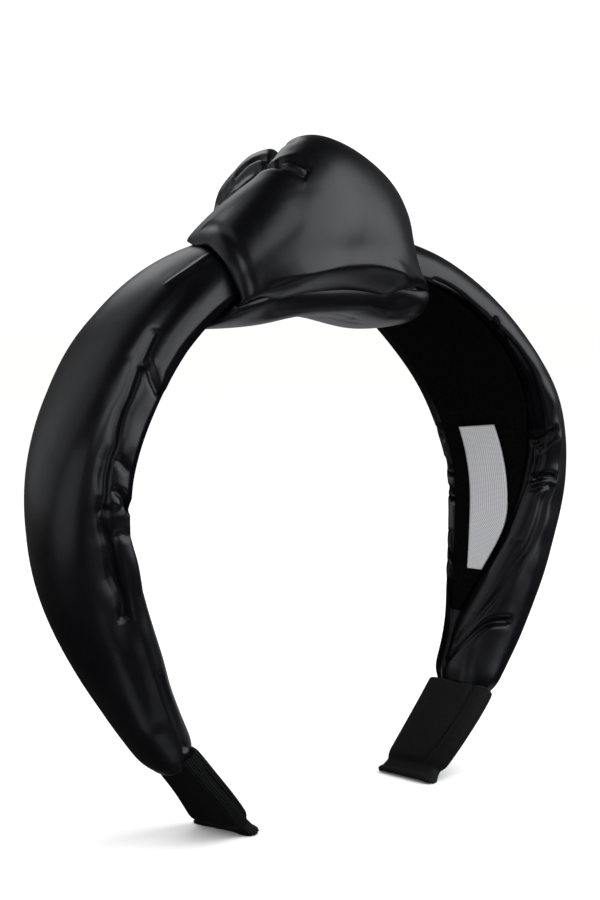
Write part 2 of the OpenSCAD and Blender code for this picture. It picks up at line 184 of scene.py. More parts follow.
def swept(name, rings, levels=LEVELS, sharp=0, sharp_last=0, sharp_lines=()):
    """A closed, subdivided solid through rings, each point knowing its place in the sweep.
    Sharp is how hard both end rings are, sharp_last the last one alone, and sharp_lines are the
    lines along the sweep that are fully hard."""
    m, n = rings.shape[:2]
    sides = [
        (i * n + j, i * n + (j + 1) % n, (i + 1) * n + (j + 1) % n, (i + 1) * n + j)
        for i in range(m - 1) for j in range(n)
    ]
    half = (n - 1) // 2
    strips = [(i, i + 1, n - 2 - i, n - 1 - i) for i in range(half)]
    strips = [s if s[1] != s[2] else (s[0], s[1], s[3]) for s in strips]
    last = [tuple(v + (m - 1) * n for v in strip) for strip in strips]
    faces = sides + [strip[::-1] for strip in strips] + last
    corners = rings.reshape(-1, 3)
    mesh = bpy.data.meshes.new(name)
    if volume(rings) < 0:
        faces = [face[::-1] for face in faces]
    mesh.from_pydata(corners.tolist(), [], faces)
    turn = np.tile(np.arange(n), m) * math.tau / n
    keep(mesh, "along", np.repeat(np.arange(m) / (m - 1), n))
    keep(mesh, "turn_cos", np.cos(turn))
    keep(mesh, "turn_sin", np.sin(turn))
    pairs = np.array([sorted(edge.vertices) for edge in mesh.edges])
    ring, place = pairs // n, pairs % n
    hard = np.zeros(len(pairs))
    hard[(ring == 0).all(axis=1)] = sharp
    hard[(ring == m - 1).all(axis=1)] = max(sharp, sharp_last)
    for line in sharp_lines:
        hard[(place == line).all(axis=1)] = 1
    keep(mesh, "crease_edge", hard, "EDGE")
    return subdivided(link(bpy.data.objects.new(name, mesh)), levels)


def volume(rings):
    """Signed volume of the swept solid's sides, positive where the ring's own order faces out."""
    a, b = rings[:-1], np.roll(rings[:-1], -1, axis=1)
    c, d = np.roll(rings[1:], -1, axis=1), rings[1:]
    middle = rings.mean(axis=(0, 1))
    a, b, c, d = (p - middle for p in (a, b, c, d))
    return float((a * np.cross(b, c)).sum() + (a * np.cross(c, d)).sum())


def keep(mesh, name, values, domain="POINT"):
    """Stores one number a point, edge or face under a name."""
    kind = "BOOLEAN" if values.dtype == bool else "FLOAT"
    attribute = mesh.attributes.new(name, kind, domain)
    attribute.data.foreach_set("value", values if kind == "BOOLEAN" else values.astype(np.float32))


def kept(mesh, name):
    """The numbers that keep stored for the points."""
    values = np.zeros(len(mesh.vertices), np.float32)
    mesh.attributes[name].data.foreach_get("value", values)
    return values.astype(float)


def baked(obj):
    """The object with its modifiers turned into its own mesh."""
    graph = bpy.context.evaluated_depsgraph_get()
    mesh = bpy.data.meshes.new_from_object(obj.evaluated_get(graph))
    obj.modifiers.clear()
    obj.data = mesh
    return obj


def subdivided(obj, levels):
    smooth = obj.modifiers.new("smooth", "SUBSURF")
    smooth.levels = smooth.render_levels = levels
    return baked(obj)


def points_of(mesh):
    points = np.zeros(len(mesh.vertices) * 3)
    mesh.vertices.foreach_get("co", points)
    return points.reshape(-1, 3)


def normals_of(mesh):
    normals = np.zeros(len(mesh.vertices) * 3, np.float32)
    mesh.vertex_normals.foreach_get("vector", normals)
    return normals.reshape(-1, 3).astype(float)


def turn_of(mesh, count):
    """Each point's place round its ring, from 0 to the number of points in the cage's ring."""
    angle = np.arctan2(kept(mesh, "turn_sin"), kept(mesh, "turn_cos"))
    return (angle / math.tau * count) % count


def places_of(obj, rings, line):
    """Each point's place in millimetres: along from the first ring, and round from the line that
    joins the same numbered point of every ring."""
    m, n = rings.shape[:2]
    along = kept(obj.data, "along") * (m - 1)
    turn = turn_of(obj.data, n)
    middles = rings.mean(axis=1)
    steps = np.linalg.norm(np.diff(middles, axis=0), axis=1)
    run = np.interp(along, np.arange(m), np.concatenate([[0], np.cumsum(steps)]))
    closed = np.concatenate([rings, rings[:, :1]], axis=1)
    girth = np.cumsum(np.linalg.norm(np.diff(closed, axis=1), axis=2), axis=1)
    girth = np.concatenate([np.zeros((m, 1)), girth], axis=1)
    girth -= girth[:, line:line + 1]
    i, j = np.clip(along.astype(int), 0, m - 2), np.clip(turn.astype(int), 0, n - 1)
    s, t = along - i, turn - j
    near = girth[i, j] * (1 - t) + girth[i, j + 1] * t
    far = girth[i + 1, j] * (1 - t) + girth[i + 1, j + 1] * t
    return run / MM, (near * (1 - s) + far * s) / MM


def moved(obj, offsets):
    """Moves each point by its own offset in millimetres."""
    points = points_of(obj.data) + offsets * MM
    obj.data.vertices.foreach_set("co", points.ravel())
    obj.data.update()


def pushed(obj, heights):
    """Moves each point along its normal by its height in millimetres."""
    moved(obj, normals_of(obj.data) * heights[:, None])


def shifted(obj, shares, offset):
    """Moves each point by its share of one offset in millimetres."""
    moved(obj, shares[:, None] * np.array(offset))


def mapped(obj, run, round_ring):
    """A UV map in millimetres: U round the ring, V along the sweep, unbroken over each face."""
    mesh = obj.data
    corners = np.zeros(len(mesh.loops), np.int32)
    mesh.loops.foreach_get("vertex_index", corners)
    starts = np.zeros(len(mesh.polygons), np.int32)
    mesh.polygons.foreach_get("loop_start", starts)
    girth = round_ring.max() - round_ring.min()
    u, v = round_ring[corners], run[corners]
    face = np.searchsorted(starts, np.arange(len(corners)), side="right") - 1
    highest = np.maximum.reduceat(u, starts)[face]
    u = np.where(highest - u > girth / 2, u + girth, u)
    layer = mesh.uv_layers.new(name="millimetres")
    layer.data.foreach_set("uv", np.stack([u, v], axis=1).ravel().astype(np.float32))


def bell(x, width):
    """1 at x = 0, falling off smoothly on both sides."""
    return np.exp(-(x / width) ** 2)


def eased(x):
    """0 below 0 and 1 above 1, with a smooth rise between."""
    x = np.clip(x, 0, 1)
    return x * x * (3 - 2 * x)


def amid(share, start, rise, end, fall):
    """1 amid two shares of a run, easing up from 0 after the start and down to 0 before the end."""
    return eased((share - start) / rise) * eased((end - share) / fall)


def curve_through(points, steps=5):
    """A smooth line through a few points, as many short steps."""
    p = np.array([points[0], *points, points[-1]], float)
    t = np.linspace(0, 1, steps, endpoint=False)[:, None]
    spans = [
        p[i] + 0.5 * t * (p[i + 1] - p[i - 1])
        + t ** 2 * (p[i - 1] - 2.5 * p[i] + 2 * p[i + 1] - 0.5 * p[i + 2])
        + t ** 3 * (1.5 * (p[i] - p[i + 1]) + 0.5 * (p[i + 2] - p[i - 1]))
        for i in range(1, len(p) - 2)
    ]
    return np.concatenate(spans + [p[-1:]])


# A crease: how far from its line it is worked out, in widths, how far it has faded in at its very
# ends, and the low swell on both sides of it, as shares of its depth and of its width
CREASE_REACH = 5
CREASE_END = 0.1
SWELL_HEIGHT = 0.2
SWELL_WIDTH = 2.3


def crease_heights(run, across, creases):
    """Millimetres up or down for creases, each with a width, a depth and points (run, across):
    a dent with a low swell on both sides, fading towards its two ends."""
    places = np.stack([run, across], axis=1)
    heights = np.zeros(len(run))
    for width, depth, points in creases:
        line = curve_through(points)
        reach = CREASE_REACH * width
        near = np.flatnonzero(((places > line.min(axis=0) - reach)
                               & (places < line.max(axis=0) + reach)).all(axis=1))
        here = places[near]
        nearest = np.full(len(near), np.inf)
        share = np.zeros(len(near))
        for k, (a, b) in enumerate(zip(line[:-1], line[1:])):
            t = np.clip(((here - a) @ (b - a)) / ((b - a) @ (b - a) + 1e-9), 0, 1)
            gap = np.linalg.norm(here - a - t[:, None] * (b - a), axis=1)
            closer = gap < nearest
            nearest[closer] = gap[closer]
            share[closer] = ((k + t) / (len(line) - 1))[closer]
        length = np.linalg.norm(np.diff(line, axis=0), axis=1).sum()
        fade = eased(np.minimum(share, 1 - share) * length / (2 * width) + CREASE_END)
        dent = bell(nearest, width) - SWELL_HEIGHT * bell(nearest, SWELL_WIDTH * width)
        heights[near] -= depth * fade * dent / (1 - SWELL_HEIGHT)
    return heights


def slack_heights(obj, depth, size, seed):
    """Millimetres down for slack cloth: sharp valleys, as deep as given, between rounded swells of
    about a size in millimetres."""
    shift = Vector((seed, 2 * seed, 3 * seed))
    return -depth * np.array([
        1 - abs(noise.noise(Vector(point) / (size * MM) + shift)) * 2
        for point in points_of(obj.data)
    ])


# Materials

def linear(code):
    """A linear colour from an sRGB hex code."""
    parts = [int(code[i:i + 2], 16) / 255 for i in (1, 3, 5)]
    return [p / 12.92 if p <= 0.04045 else ((p + 0.055) / 1.055) ** 2.4 for p in parts] + [1]


def add(tree, kind, inputs=None, stops=(), **settings):
    """Adds a node with its settings, links or sets its inputs, and gives a colour ramp its stops
    (place, colour)."""
    made = tree.nodes.new(kind)
    for name, value in settings.items():
        setattr(made, name, value)
    if stops:
        elements = made.color_ramp.elements
        while len(elements) < len(stops):
            elements.new(0.5)
        for element, (place, colour) in zip(elements, stops):
            element.position, element.color = place, colour
    for socket, source in (inputs or {}).items():
        if isinstance(source, bpy.types.NodeSocket):
            tree.links.new(source, made.inputs[socket])
        else:
            made.inputs[socket].default_value = source
    return made


def new_material(name):
    """An empty material, its tree, and its shader joined to the output."""
    material = bpy.data.materials.new(name)
    material.use_nodes = True
    tree = material.node_tree
    tree.nodes.clear()
    shader = add(tree, "ShaderNodeBsdfPrincipled")
    add(tree, "ShaderNodeOutputMaterial", {"Surface": shader.outputs["BSDF"]})
    return material, tree, shader


# How far apart the bands of a wave texture of scale 1 lie, so that this over a spacing is a scale
BANDS = math.tau / 20


def satin_faux_leather():
    """Polyurethane film on a knit, calendered smooth: near black, a broad soft gloss, hardly any
    grain, and a faint buckling of the film over the foam that breaks the highlights."""
    material, tree, shader = new_material("satin_faux_leather")
    place = add(tree, "ShaderNodeTexCoord").outputs["Object"]
    clouds = add(tree, "ShaderNodeTexNoise", {"Vector": place, "Scale": 1 / (18 * MM), "Detail": 3})
    grain = add(tree, "ShaderNodeTexVoronoi", {"Vector": place, "Scale": 1 / (0.45 * MM)})
    buckle = add(tree, "ShaderNodeTexNoise", {"Vector": place, "Scale": 1 / (7 * MM), "Detail": 2})
    colour = add(tree, "ShaderNodeValToRGB", {"Fac": clouds.outputs["Fac"]},
                 stops=[(0.3, linear("#020205")), (0.7, linear("#050509"))])
    gloss = add(tree, "ShaderNodeMapRange", {
        "Value": clouds.outputs["Fac"], "From Min": 0.3, "From Max": 0.7,
        "To Min": 0.31, "To Max": 0.37,
    })
    fine = add(tree, "ShaderNodeBump", {
        "Height": grain.outputs["Distance"], "Strength": 0.12, "Distance": 0.03 * MM,
    })
    soft = add(tree, "ShaderNodeBump", {
        "Height": buckle.outputs["Fac"], "Strength": 0.5, "Distance": 0.2 * MM,
        "Normal": fine.outputs["Normal"],
    })
    # The attribute marks where the matte lining is turned over the cover's edge. It also marks
    # painted shade: the turned-in leather beside it, which lies in shade, is given the same dull,
    # unreflecting black
    lining_and_shade = add(tree, "ShaderNodeAttribute", attribute_name="lining_and_shade").outputs["Fac"]
    matte = add(tree, "ShaderNodeMix", {"Factor": lining_and_shade, "A": gloss.outputs["Result"], "B": 0.9},
                data_type="FLOAT")
    shine = add(tree, "ShaderNodeMix", {"Factor": lining_and_shade, "A": 0.5, "B": 0.03}, data_type="FLOAT")
    tree.links.new(colour.outputs["Color"], shader.inputs["Base Color"])
    tree.links.new(matte.outputs["Result"], shader.inputs["Roughness"])
    tree.links.new(shine.outputs["Result"], shader.inputs["Specular IOR Level"])
    tree.links.new(soft.outputs["Normal"], shader.inputs["Normal"])
    shader.inputs["IOR"].default_value = 1.48
    return material


def matte_lining_cloth():
    """Brushed polyester knit: a dull black nap that hardly reflects, with rows of loops, drawn
    0.9 mm apart so that they show."""
    material, tree, shader = new_material("matte_lining_cloth")
    uv = add(tree, "ShaderNodeUVMap", uv_map="millimetres").outputs["UV"]
    rows = add(tree, "ShaderNodeTexWave", {
        "Vector": uv, "Scale": BANDS / 0.9, "Distortion": 1.5, "Detail": 1,
    }, bands_direction="X")
    place = add(tree, "ShaderNodeTexCoord").outputs["Object"]
    nap = add(tree, "ShaderNodeTexNoise", {"Vector": place, "Scale": 1 / (0.8 * MM), "Detail": 3})
    colour = add(tree, "ShaderNodeValToRGB", {"Fac": nap.outputs["Fac"]},
                 stops=[(0.3, linear("#010102")), (0.7, linear("#040405"))])
    loops = add(tree, "ShaderNodeBump", {
        "Height": rows.outputs["Fac"], "Strength": 0.4, "Distance": 0.08 * MM,
    })
    fuzz = add(tree, "ShaderNodeBump", {
        "Height": nap.outputs["Fac"], "Strength": 0.6, "Distance": 0.1 * MM,
        "Normal": loops.outputs["Normal"],
    })
    tree.links.new(colour.outputs["Color"], shader.inputs["Base Color"])
    tree.links.new(fuzz.outputs["Normal"], shader.inputs["Normal"])
    shader.inputs["Roughness"].default_value = 0.95
    shader.inputs["Specular IOR Level"].default_value = 0.06
    return material


def woven_label_cloth():
    """Satin-woven polyester label ribbon: light grey, with weft floats and darker gaps, drawn some
    three times as coarse as the real threads so that they show."""
    material, tree, shader = new_material("woven_label_cloth")
    uv = add(tree, "ShaderNodeUVMap", uv_map="millimetres").outputs["UV"]
    warp = add(tree, "ShaderNodeTexWave", {"Vector": uv, "Scale": BANDS / 0.63, "Distortion": 0.4},
               bands_direction="X")
    weft = add(tree, "ShaderNodeTexWave", {"Vector": uv, "Scale": BANDS / 0.35, "Distortion": 0.4},
               bands_direction="Y")
    weave = add(tree, "ShaderNodeMath", {0: warp.outputs["Fac"], 1: weft.outputs["Fac"]},
                operation="MULTIPLY")
    colour = add(tree, "ShaderNodeValToRGB", {"Fac": weave.outputs["Value"]},
                 stops=[(0.0, linear("#868688")), (0.7, linear("#b8b8ba"))])
    threads = add(tree, "ShaderNodeBump", {
        "Height": weave.outputs["Value"], "Strength": 0.6, "Distance": 0.1 * MM,
    })
    tree.links.new(colour.outputs["Color"], shader.inputs["Base Color"])
    tree.links.new(threads.outputs["Normal"], shader.inputs["Normal"])
    shader.inputs["Roughness"].default_value = 0.6
    return material


def ribbed_ribbon():
    """Polyester grosgrain ribbon: dull black cords with a slight sheen from the wrapped thread."""
    material, tree, shader = new_material("ribbed_ribbon")
    place = add(tree, "ShaderNodeTexCoord").outputs["Object"]
    fibre = add(tree, "ShaderNodeTexNoise", {"Vector": place, "Scale": 1 / (0.5 * MM), "Detail": 4})
    colour = add(tree, "ShaderNodeValToRGB", {"Fac": fibre.outputs["Fac"]},
                 stops=[(0.3, linear("#020203")), (0.7, linear("#08080a"))])
    thread = add(tree, "ShaderNodeBump", {
        "Height": fibre.outputs["Fac"], "Strength": 0.5, "Distance": 0.06 * MM,
    })
    tree.links.new(colour.outputs["Color"], shader.inputs["Base Color"])
    tree.links.new(thread.outputs["Normal"], shader.inputs["Normal"])
    shader.inputs["Roughness"].default_value = 0.55
    shader.inputs["Specular IOR Level"].default_value = 0.25
    return material


def finished(obj, material, node):
    """Gives a piece its material and its body, and hides the node that it stands for."""
    obj.data.materials.clear()
    obj.data.materials.append(material)
    obj.data.polygons.foreach_set("use_smooth", [True] * len(obj.data.polygons))
    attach(obj, "root")
    if node:
        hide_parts(node)


# The arms

# Which line of an arm's sweep runs down its front edge
FRONT_EDGE = 14
# Creases of the arms: width, depth, points (run from the crown, across from the front edge). One
# with a depth below 0 is a ridge
LEFT_CREASES = [
    (1.2, 0.9, [(58, -10), (69, -8.5), (80, -7.5), (91, -6.7), (99, -6.7), (106, -5.6), (115, -5),
                (121, -5.3), (128, -6)]),
    (3.2, 0.7, [(104, -5.5), (121, -5.5), (132, -6.3), (147, -7.5), (158, -9)]),
    (3.0, 0.7, [(36, -11), (50, -9.5), (62, -8.5), (69, -8.5)]),
    (1.2, 1.4, [(66.8, -8.4), (69, -5.2), (71, -2.6), (73, 0.5)]),
    (1.0, 0.8, [(89.8, -5), (91.2, -2.8), (93, -0.2)]),
    (1.1, 1.4, [(96.6, -5), (98.2, -2.1), (100.1, -0.5), (102, 2.4)]),
    (0.8, 0.5, [(101, -7), (101.5, -4), (101.3, -0.5)]),
    (1.0, 0.8, [(108, -4), (107, -1.8), (108, 1)]),
    (4.0, -0.8, [(108, 0.5), (115.5, 0.5), (123, 0.5)]),
    (0.7, -0.35, [(32, -15), (40, -14.6), (47, -16)]),
    (0.9, 0.8, [(143, -2.5), (152, -2.4), (159, -3.2), (166, -5)]),
    (1.1, 0.8, [(84, 3), (86, 6), (88, 9)]),
    (1.1, 0.8, [(99, 3), (102, 7), (104, 10)]),
    (1.2, 0.8, [(118, 3), (121, 7), (124, 10)]),
]
RIGHT_CREASES = [
    (1.1, 0.9, [(31, 0), (40, 0.3), (52, 2), (61, 1.2), (69, 0.7), (76, 1.3), (84, 2.2),
                (92, 2.8)]),
    (1.1, 1.1, [(55.5, -2), (57, 1), (58, 4)]),
    (0.9, 0.7, [(62, 0), (64, 4)]),
    (1.2, 1.6, [(98.6, 8), (96.8, 2.2), (94.8, -3)]),
    (1.0, 1.1, [(101, 6), (98.9, 2.3), (96.6, -2.2)]),
    (1.1, 0.7, [(99, 3), (106, 4.5), (109.5, 6)]),
    (1.1, 1.3, [(109.7, 7), (108.5, 2), (109, -3)]),
    (1.0, 0.9, [(112.8, 6), (111.5, 2.5), (110.6, -1)]),
    (1.3, 0.9, [(110, -1.5), (115.4, 0.2), (121, 0.1), (128, 0.6), (134.4, 2.6), (142, 4),
                (146.4, 5.7), (153, 8.4), (161, 15)]),
    (1.3, 1.4, [(149.8, -3), (151.2, 2.8), (154.3, 6), (161, 10.7), (166, 17)]),
    (0.9, 0.3, [(128.4, 7), (127, 2.6)]),
    (0.6, -0.3, [(86, 6.8), (93, 6.4), (99, 5.6), (105, 5.4), (110, 6.2), (117, 8), (125, 8.2)]),
    (1.1, 0.8, [(91, 40), (96, 36), (101, 32)]),
    (1.2, 1.0, [(103, 38), (107, 34), (110, 29)]),
    (1.3, 1.3, [(113, 36), (116, 31), (119, 26)]),
    (1.2, 0.9, [(126, 31), (131, 28), (137, 23)]),
    (1.2, 0.8, [(135, 29), (141, 24), (148, 18)]),
]
# Where the lining is turned over the arm's front edge, and where the turned-in leather beside it is
# painted as shade
# in the same matte black: its border as places (run, across), from its first run to its last, and
# how far it reaches behind the border
LEFT_LINING_AND_SHADE = ([(28, -1.4), (44, -2.0), (60, -2.4), (67, -2.2), (72, -0.9), (104, -0.9)], 15)
RIGHT_LINING_AND_SHADE = ([(30, 1.4), (97, 1.4)], 13)
# How softly the lining and the painted shade end along their run and at their border
LINING_AND_SHADE_FADES = (3, 0.5)
# How hard the edge round the pad's lower end is
PAD_END = 0.75
# The slack of the cover over its padding: depth and size
ARM_SLACK = (0.2, 26)


def make_arm(node, leather, creases, lining_and_shade, seed):
    """The cover of one arm, creased where it is turned in, with the place of the lining, and of the
    painted shade on the turned-in leather, marked.
    """
    rings = rings_of(node)
    obj = swept(node + "_cover", rings, sharp_last=PAD_END)
    run, edge = places_of(obj, rings, FRONT_EDGE)
    border, reach = lining_and_shade
    border_run, border_edge = zip(*border)
    behind = edge - np.interp(run, border_run, border_edge)
    fade_run, fade_border = LINING_AND_SHADE_FADES
    # cloth is the share of matte, unreflecting black: the turned-over lining, and painted shade on
    # the turned-in leather beside it
    cloth = np.minimum.reduce([
        (run - border_run[0]) / fade_run, (border_run[-1] - run) / fade_run,
        behind / fade_border, (reach - behind) / fade_border,
    ])
    keep(obj.data, "lining_and_shade", np.clip(cloth, 0, 1))
    pushed(obj, crease_heights(run, edge, creases) + slack_heights(obj, *ARM_SLACK, seed))
    mapped(obj, run, edge)
    finished(obj, leather, node)


# The knot

def calmed(rings, outer, passes=3, strength=0.25):
    """The outside evened out along the sweep, so that no facet shows in the gloss."""
    rings = rings.copy()
    face = rings[:, :outer]
    for _ in range(passes):
        face[1:-1] += strength * (face[2:] - 2 * face[1:-1] + face[:-2])
    return rings


def make_fold(node, leather, shaped):
    """The cloth of one of the knot's folds, given its shape by a function of its own."""
    rings = calmed(rings_of(node), SWEEPS[node][1])
    obj = swept(node + "_cloth", rings)
    shaped(obj, rings)
    run, across = places_of(obj, rings, 0)
    mapped(obj, run, across)
    finished(obj, leather, node)


# Creases of the wrap: width, depth, points (run from the left mouth, across from the shoulder)
WRAP_CREASES = [
    (0.8, 1.3, [(18.3, 0.5), (19.0, 3.5), (19.7, 7), (20.5, 12), (22.2, 16.5), (23.8, 20.5)]),
    (0.8, 1.0, [(20.2, 5), (21.8, 9.5), (23.6, 14), (24.7, 17.5), (25.2, 21)]),
    (1.8, 0.8, [(27, -1), (29.5, 4.5), (30, 10)]),
    (0.9, 0.2, [(3.0, 12), (3.2, 25), (3.0, 40), (2.8, 52)]),
]
# Creases of the fold behind the shoulder: the same columns
FOLD_CREASES = [
    (1.2, 1.0, [(8, 44), (9.5, 54), (12.5, 62), (14.5, 70)]),
    (1.1, 1.0, [(12, 56), (15.5, 62), (17.5, 67), (17, 74)]),
    (1.0, 0.6, [(10, 58), (12.5, 66), (13.5, 73)]),
    (1.6, 0.9, [(22, 14), (25, 30), (27, 45), (23, 60)]),
    (1.8, 0.9, [(38, 12), (37, 28), (41, 46), (47, 62)]),
    (1.5, 0.8, [(54, 10), (56, 24), (54, 38), (56, 52)]),
]
# Creases of the roll: the same columns, across from the front
ROLL_CREASES = [
    (1.5, 0.35, [(30, 19), (40, 17), (52, 21)]),
    (1.4, 0.3, [(38, 23), (47, 25), (58, 24)]),
    (1.3, 0.3, [(26, 25), (36, 28), (48, 30)]),
    (1.2, 0.25, [(6, 10), (9, 14), (12, 20)]),
]
# Which line of a sweep runs along the wrap's hem, and along the fold's lower edge
LOWER_EDGE = 16
# The stretch between a fold's two mouths that hangs free: where it starts and how softly, and
# where it ends and how softly, as shares of the run
WRAP_MIDDLE = (0.05, 0.2, 0.93, 0.15)
FOLD_MIDDLE = (0.08, 0.15, 0.92, 0.15)
ROLL_MIDDLE = (0.05, 0.2, 0.95, 0.15)
# The wrap's curled hem: how far it reaches up the face and in under it, and how far it is moved, in
# millimetres, as everything below
CURL_UP = 6
CURL_IN = 7
CURL_MOVE = (0, 4.6, -3.6)
# The wrap's belly: its height above the hem, its width, and how far it is moved
BELLY = 4.8
BELLY_WIDTH = 4.2
BELLY_MOVE = (0, -2.8, 0)
# The lip of the wrap's left mouth: how far it is from the shoulder, how wide and how deep it is,
# and how far it is moved
LIP = 10
LIP_WIDTH = 6
LIP_DEPTH = 3.5
LIP_MOVE = (-1.2, -0.2, -1.6)
# The slack of the wrap: depth and size
WRAP_SLACK = (0.12, 22)
# The fold's lower edge: how wide a stretch of it sags, and how far it is moved
SAG_WIDTH = 5
SAG_MOVE = (0, -1.6, 0.3)
# The fold's slack: its least depth, how much more it is near the left mouth, and its size, then
# where along the run it comes to its least and how softly, as shares
FOLD_SLACK = (0.35, 0.45, 15)
FOLD_CALM = (0.4, 0.3)
# The roll's front: its place, its width, and how far it is tucked in behind the hem
TUCK = 4
TUCK_WIDTH = 8
TUCK_MOVE = (0, 4.4, 0)


def shaped_wrap(obj, rings):
    """The face hangs full down to its hem, which curls in under it, and the shoulder is creased."""
    run, across = places_of(obj, rings, LOWER_EDGE)
    middle = amid(run / run.max(), *WRAP_MIDDLE)
    curl = np.where(across < 0, eased(1 + across / CURL_UP), np.clip(1 - across / CURL_IN, 0, 1))
    shifted(obj, curl * middle, CURL_MOVE)
    shifted(obj, bell(across + BELLY, BELLY_WIDTH) * middle, BELLY_MOVE)
    run, across = places_of(obj, rings, 0)
    points = points_of(obj.data)
    tip = points[(run < 0.5) & (abs(across - LIP) < 1)].mean(axis=0)
    lip = bell(np.linalg.norm(points - tip, axis=1), LIP_WIDTH * MM)
    shifted(obj, lip * np.clip(1 - run / LIP_DEPTH, 0, 1), LIP_MOVE)
    creases = crease_heights(run, across, WRAP_CREASES)
    pushed(obj, creases + slack_heights(obj, *WRAP_SLACK, seed=1))


def shaped_fold(obj, rings):
    """Crumpled by the pull of the wrap over it."""
    run, across = places_of(obj, rings, LOWER_EDGE)
    share = run / run.max()
    shifted(obj, bell(across, SAG_WIDTH) * amid(share, *FOLD_MIDDLE), SAG_MOVE)
    run, across = places_of(obj, rings, 0)
    least, more, size = FOLD_SLACK
    calm, fall = FOLD_CALM
    depth = least + more * eased((calm - share) / fall)
    creases = crease_heights(run, across, FOLD_CREASES)
    pushed(obj, creases + slack_heights(obj, depth, size, seed=2))


def shaped_roll(obj, rings):
    """The roll's front tucked in behind the curled hem, with a few slack wrinkles below it."""
    run, across = places_of(obj, rings, 0)
    middle = amid(run / run.max(), *ROLL_MIDDLE)
    shifted(obj, bell(across - TUCK, TUCK_WIDTH) * middle, TUCK_MOVE)
    pushed(obj, crease_heights(run, across, ROLL_CREASES))


# The lining and the label


def make_strip(node, name, material, sharp=0, sharp_lines=()):
    """A sheet of cloth that lies on other pieces."""
    rings = rings_of(node)
    obj = swept(name, rings, sharp=sharp, sharp_lines=sharp_lines)
    run, across = places_of(obj, rings, 0)
    mapped(obj, run, across)
    finished(obj, material, node)


# The ribbon wraps

def rib_tree(material):
    """Geometry Nodes: a round cord along each edge that is marked as a rib."""
    tree = bpy.data.node_groups.new("ribs", "GeometryNodeTree")
    tree.interface.new_socket("Ribbon", in_out="INPUT", socket_type="NodeSocketGeometry")
    radius = tree.interface.new_socket("Rib radius", in_out="INPUT", socket_type="NodeSocketFloat")
    sides = tree.interface.new_socket("Rib sides", in_out="INPUT", socket_type="NodeSocketInt")
    tree.interface.new_socket("Ribs", in_out="OUTPUT", socket_type="NodeSocketGeometry")
    inputs = add(tree, "NodeGroupInput")
    marked = add(tree, "GeometryNodeInputNamedAttribute", {"Name": "rib"}, data_type="BOOLEAN")
    lines = add(tree, "GeometryNodeMeshToCurve", {
        "Mesh": inputs.outputs["Ribbon"], "Selection": marked.outputs["Attribute"],
    })
    round_cord = add(tree, "GeometryNodeCurvePrimitiveCircle", {
        "Resolution": inputs.outputs["Rib sides"], "Radius": inputs.outputs["Rib radius"],
    })
    cords = add(tree, "GeometryNodeCurveToMesh", {
        "Curve": lines.outputs["Curve"], "Profile Curve": round_cord.outputs["Curve"],
        "Fill Caps": True,
    })
    smooth = add(tree, "GeometryNodeSetShadeSmooth", {"Geometry": cords.outputs["Mesh"]})
    real = add(tree, "GeometryNodeRealizeInstances", {"Geometry": smooth.outputs["Geometry"]})
    coated = add(tree, "GeometryNodeSetMaterial", {
        "Geometry": real.outputs["Geometry"], "Material": material,
    })
    add(tree, "NodeGroupOutput", {"Ribs": coated.outputs["Geometry"]})
    return tree, radius.identifier, sides.identifier


# Cords round a wrap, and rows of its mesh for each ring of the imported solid
CORDS = 76
ROWS = 2
# A cord's radius, its sides, and how far the lowest stays above the floor, in millimetres
CORD = 0.3
CORD_SIDES = 6
CORD_CLEAR = 0.05
# The corners round a wrap's hem: share of the girth, and millimetres beyond it
CORNERS = [(0, 1.5), (0.42, 0), (1, -0.5)]
CORNER_WIDTH = 3
# The pressed hem: its height, how far it flares, how much more at its corners, and how far it is
# raised between them
HEM = 1.4
HEM_FLARE = 0.3
CORNER_FLARE = 0.55
HEM_RAISED = 1.0
# The waist over the hem: its place above the tip, its height and its depth
WAIST = 4
WAIST_HEIGHT = 1.1
WAIST_DEPTH = 0.45
# The seam: its width and depth, the stretch at the top where it slants and how much, and where
# above the tip it starts and how softly
SEAM_WIDTH = 0.7
SEAM_DEPTH = 0.7
SEAM_BEND = 6
SEAM_SLANT = 0.12
SEAM_START = 3
SEAM_RISE = 4
# The stretch at the top of a wrap that reaches up under the pad
TOP = 7


def evenly_ringed(rings, count, rows):
    """The same sweep with smooth rings of evenly spaced points, and more rings between."""
    m, n = rings.shape[:2]
    smooth = []
    for ring in rings:
        line = curve_through(np.concatenate([ring, ring[:1]]), steps=8)
        run = np.concatenate([[0], np.cumsum(np.linalg.norm(np.diff(line, axis=0), axis=1))])
        places = np.linspace(0, run[-1], count, endpoint=False)
        smooth.append(np.stack([np.interp(places, run, line[:, k]) for k in range(3)], axis=1))
    smooth = np.array(smooth)
    return np.stack([curve_through(smooth[:, k], rows) for k in range(count)], axis=1)


def shaped_end(obj, rings, seam, reach):
    """The hem pressed flat with an ear at each corner, a seam down the front corner, and the top
    reaching up under the pad."""
    run, across = places_of(obj, rings, 0)
    above = run.max() - run
    girth = across.max() - across.min()
    under_pad = (rings[0] - rings[ROWS]).mean(axis=0)
    under_pad /= np.linalg.norm(under_pad)
    shifted(obj, reach * np.clip(1 - run / TOP, 0, 1), under_pad)
    corners = sum(bell(across - share * girth - more, CORNER_WIDTH) for share, more in CORNERS)
    hem = bell(above, HEM)
    flare = hem * (HEM_FLARE + CORNER_FLARE * corners)
    waist = WAIST_DEPTH * bell(above - WAIST, WAIST_HEIGHT)
    slant = SEAM_SLANT * np.maximum(SEAM_BEND - run, 0)
    groove = SEAM_DEPTH * bell(across - seam - slant, SEAM_WIDTH)
    pushed(obj, flare - waist - groove * eased((above - SEAM_START) / SEAM_RISE))
    shifted(obj, HEM_RAISED * hem * np.clip(1 - corners, 0, 1), UP)
    low = points_of(obj.data)[:, 2] / MM
    shifted(obj, np.maximum(CORD + CORD_CLEAR - low, 0), UP)


